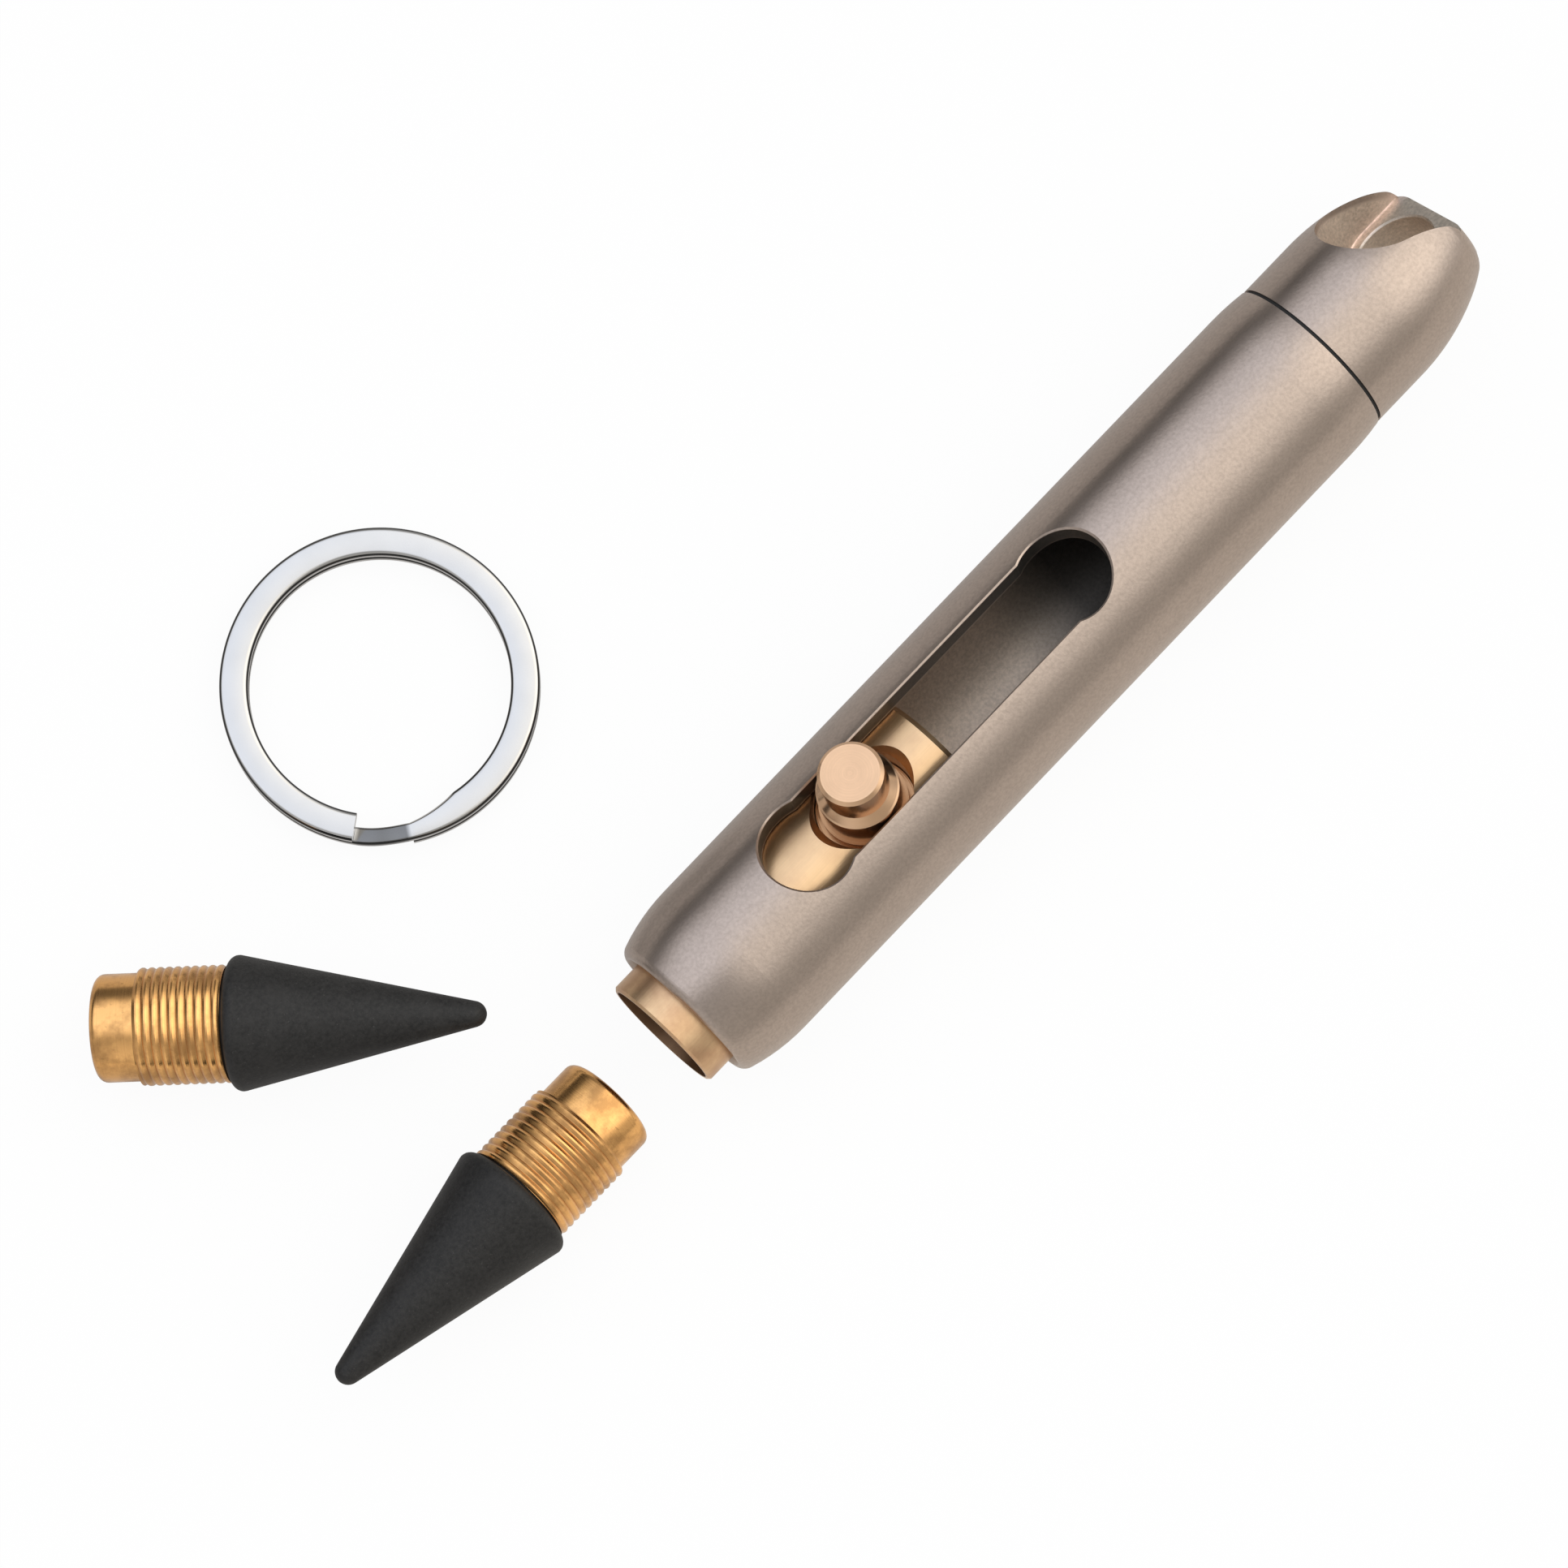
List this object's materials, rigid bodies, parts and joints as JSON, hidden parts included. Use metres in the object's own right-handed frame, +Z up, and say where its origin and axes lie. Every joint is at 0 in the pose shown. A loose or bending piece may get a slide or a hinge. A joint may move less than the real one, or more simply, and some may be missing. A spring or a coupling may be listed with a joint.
{
  "type": "inkless metal pencil",
  "caption": "Pocket inkless pencil with a slotted metal barrel, sliding brass tip carriage with lock button, ring-hole tail cap, screw-in tips and a split key ring",
  "frame": {"origin": "middle of the tip socket's mouth, on the pencil's axis, with the carriage as pictured", "axes": "+X runs along the pencil from the tip socket to the tail cap; +Z is up from the surface it lies on; +Y is the side the key ring lies on"},
  "size_m": [0.0911, 0.0407, 0.0139],
  "materials": {
    "body_metal": "bead-blasted titanium",
    "carriage_brass": "satin turned",
    "button_brass": "polished rose brass",
    "spring_steel": "drawn wire",
    "seal_rubber": "matte",
    "tip_alloy": "matte graphite alloy",
    "ferrule_brass": "polished",
    "ring_chrome": "bright plated steel"
  },
  "bodies": {
    "barrel": {"barrel": "body_metal"},
    "carriage": {"carriage": "carriage_brass", "button_spring": "spring_steel"},
    "button": {"lock_collar": "button_brass", "button_head": "button_brass"},
    "seal": {"cap_seal": "seal_rubber"},
    "cap": {"tail_cap": "body_metal"},
    "front_tip": {"front_tip_cone": "tip_alloy", "front_tip_ferrule": "ferrule_brass"},
    "spare_tip": {"spare_tip_cone": "tip_alloy", "spare_tip_ferrule": "ferrule_brass"},
    "ring": {"key_ring": "ring_chrome"}
  },
  "joints": [
    {"name": "carriage_slide", "type": "slide", "parent": "barrel", "child": "carriage", "axis": [1, 0, 0], "range_m": [-0.0041, 0.0167]},
    {"name": "button_press", "type": "slide", "parent": "carriage", "child": "button", "axis": [0, -0.2079, -0.9781], "range_m": [0, 0.0006], "stiffness_N_per_m": 400, "springref_m": -0.001, "deforming": ["button_spring"]},
    {"name": "cap_travel", "type": "slide", "parent": "barrel", "child": "seal", "axis": [1, 0, 0], "range_m": [0, 0.0048]},
    {"name": "cap_turn", "type": "hinge", "parent": "seal", "child": "cap", "pos_m": [0.05376, 0, 0], "axis": [1, 0, 0], "range_deg": [0, 2304]},
    {"name": "front_tip_away", "type": "slide", "parent": "barrel", "child": "front_tip", "axis": [0, -1, 0], "range_m": [0, 0.015]},
    {"name": "spare_tip_away", "type": "slide", "parent": "barrel", "child": "spare_tip", "axis": [-1, 0, 0], "range_m": [0, 0.015]},
    {"name": "key_ring_away", "type": "slide", "parent": "barrel", "child": "ring", "axis": [0, 1, 0], "range_m": [0, 0.015]}
  ],
  "couplings": [
    {"joint": "cap_turn", "follows": "cap_travel", "rad_per_m": 8377.6}
  ]
}
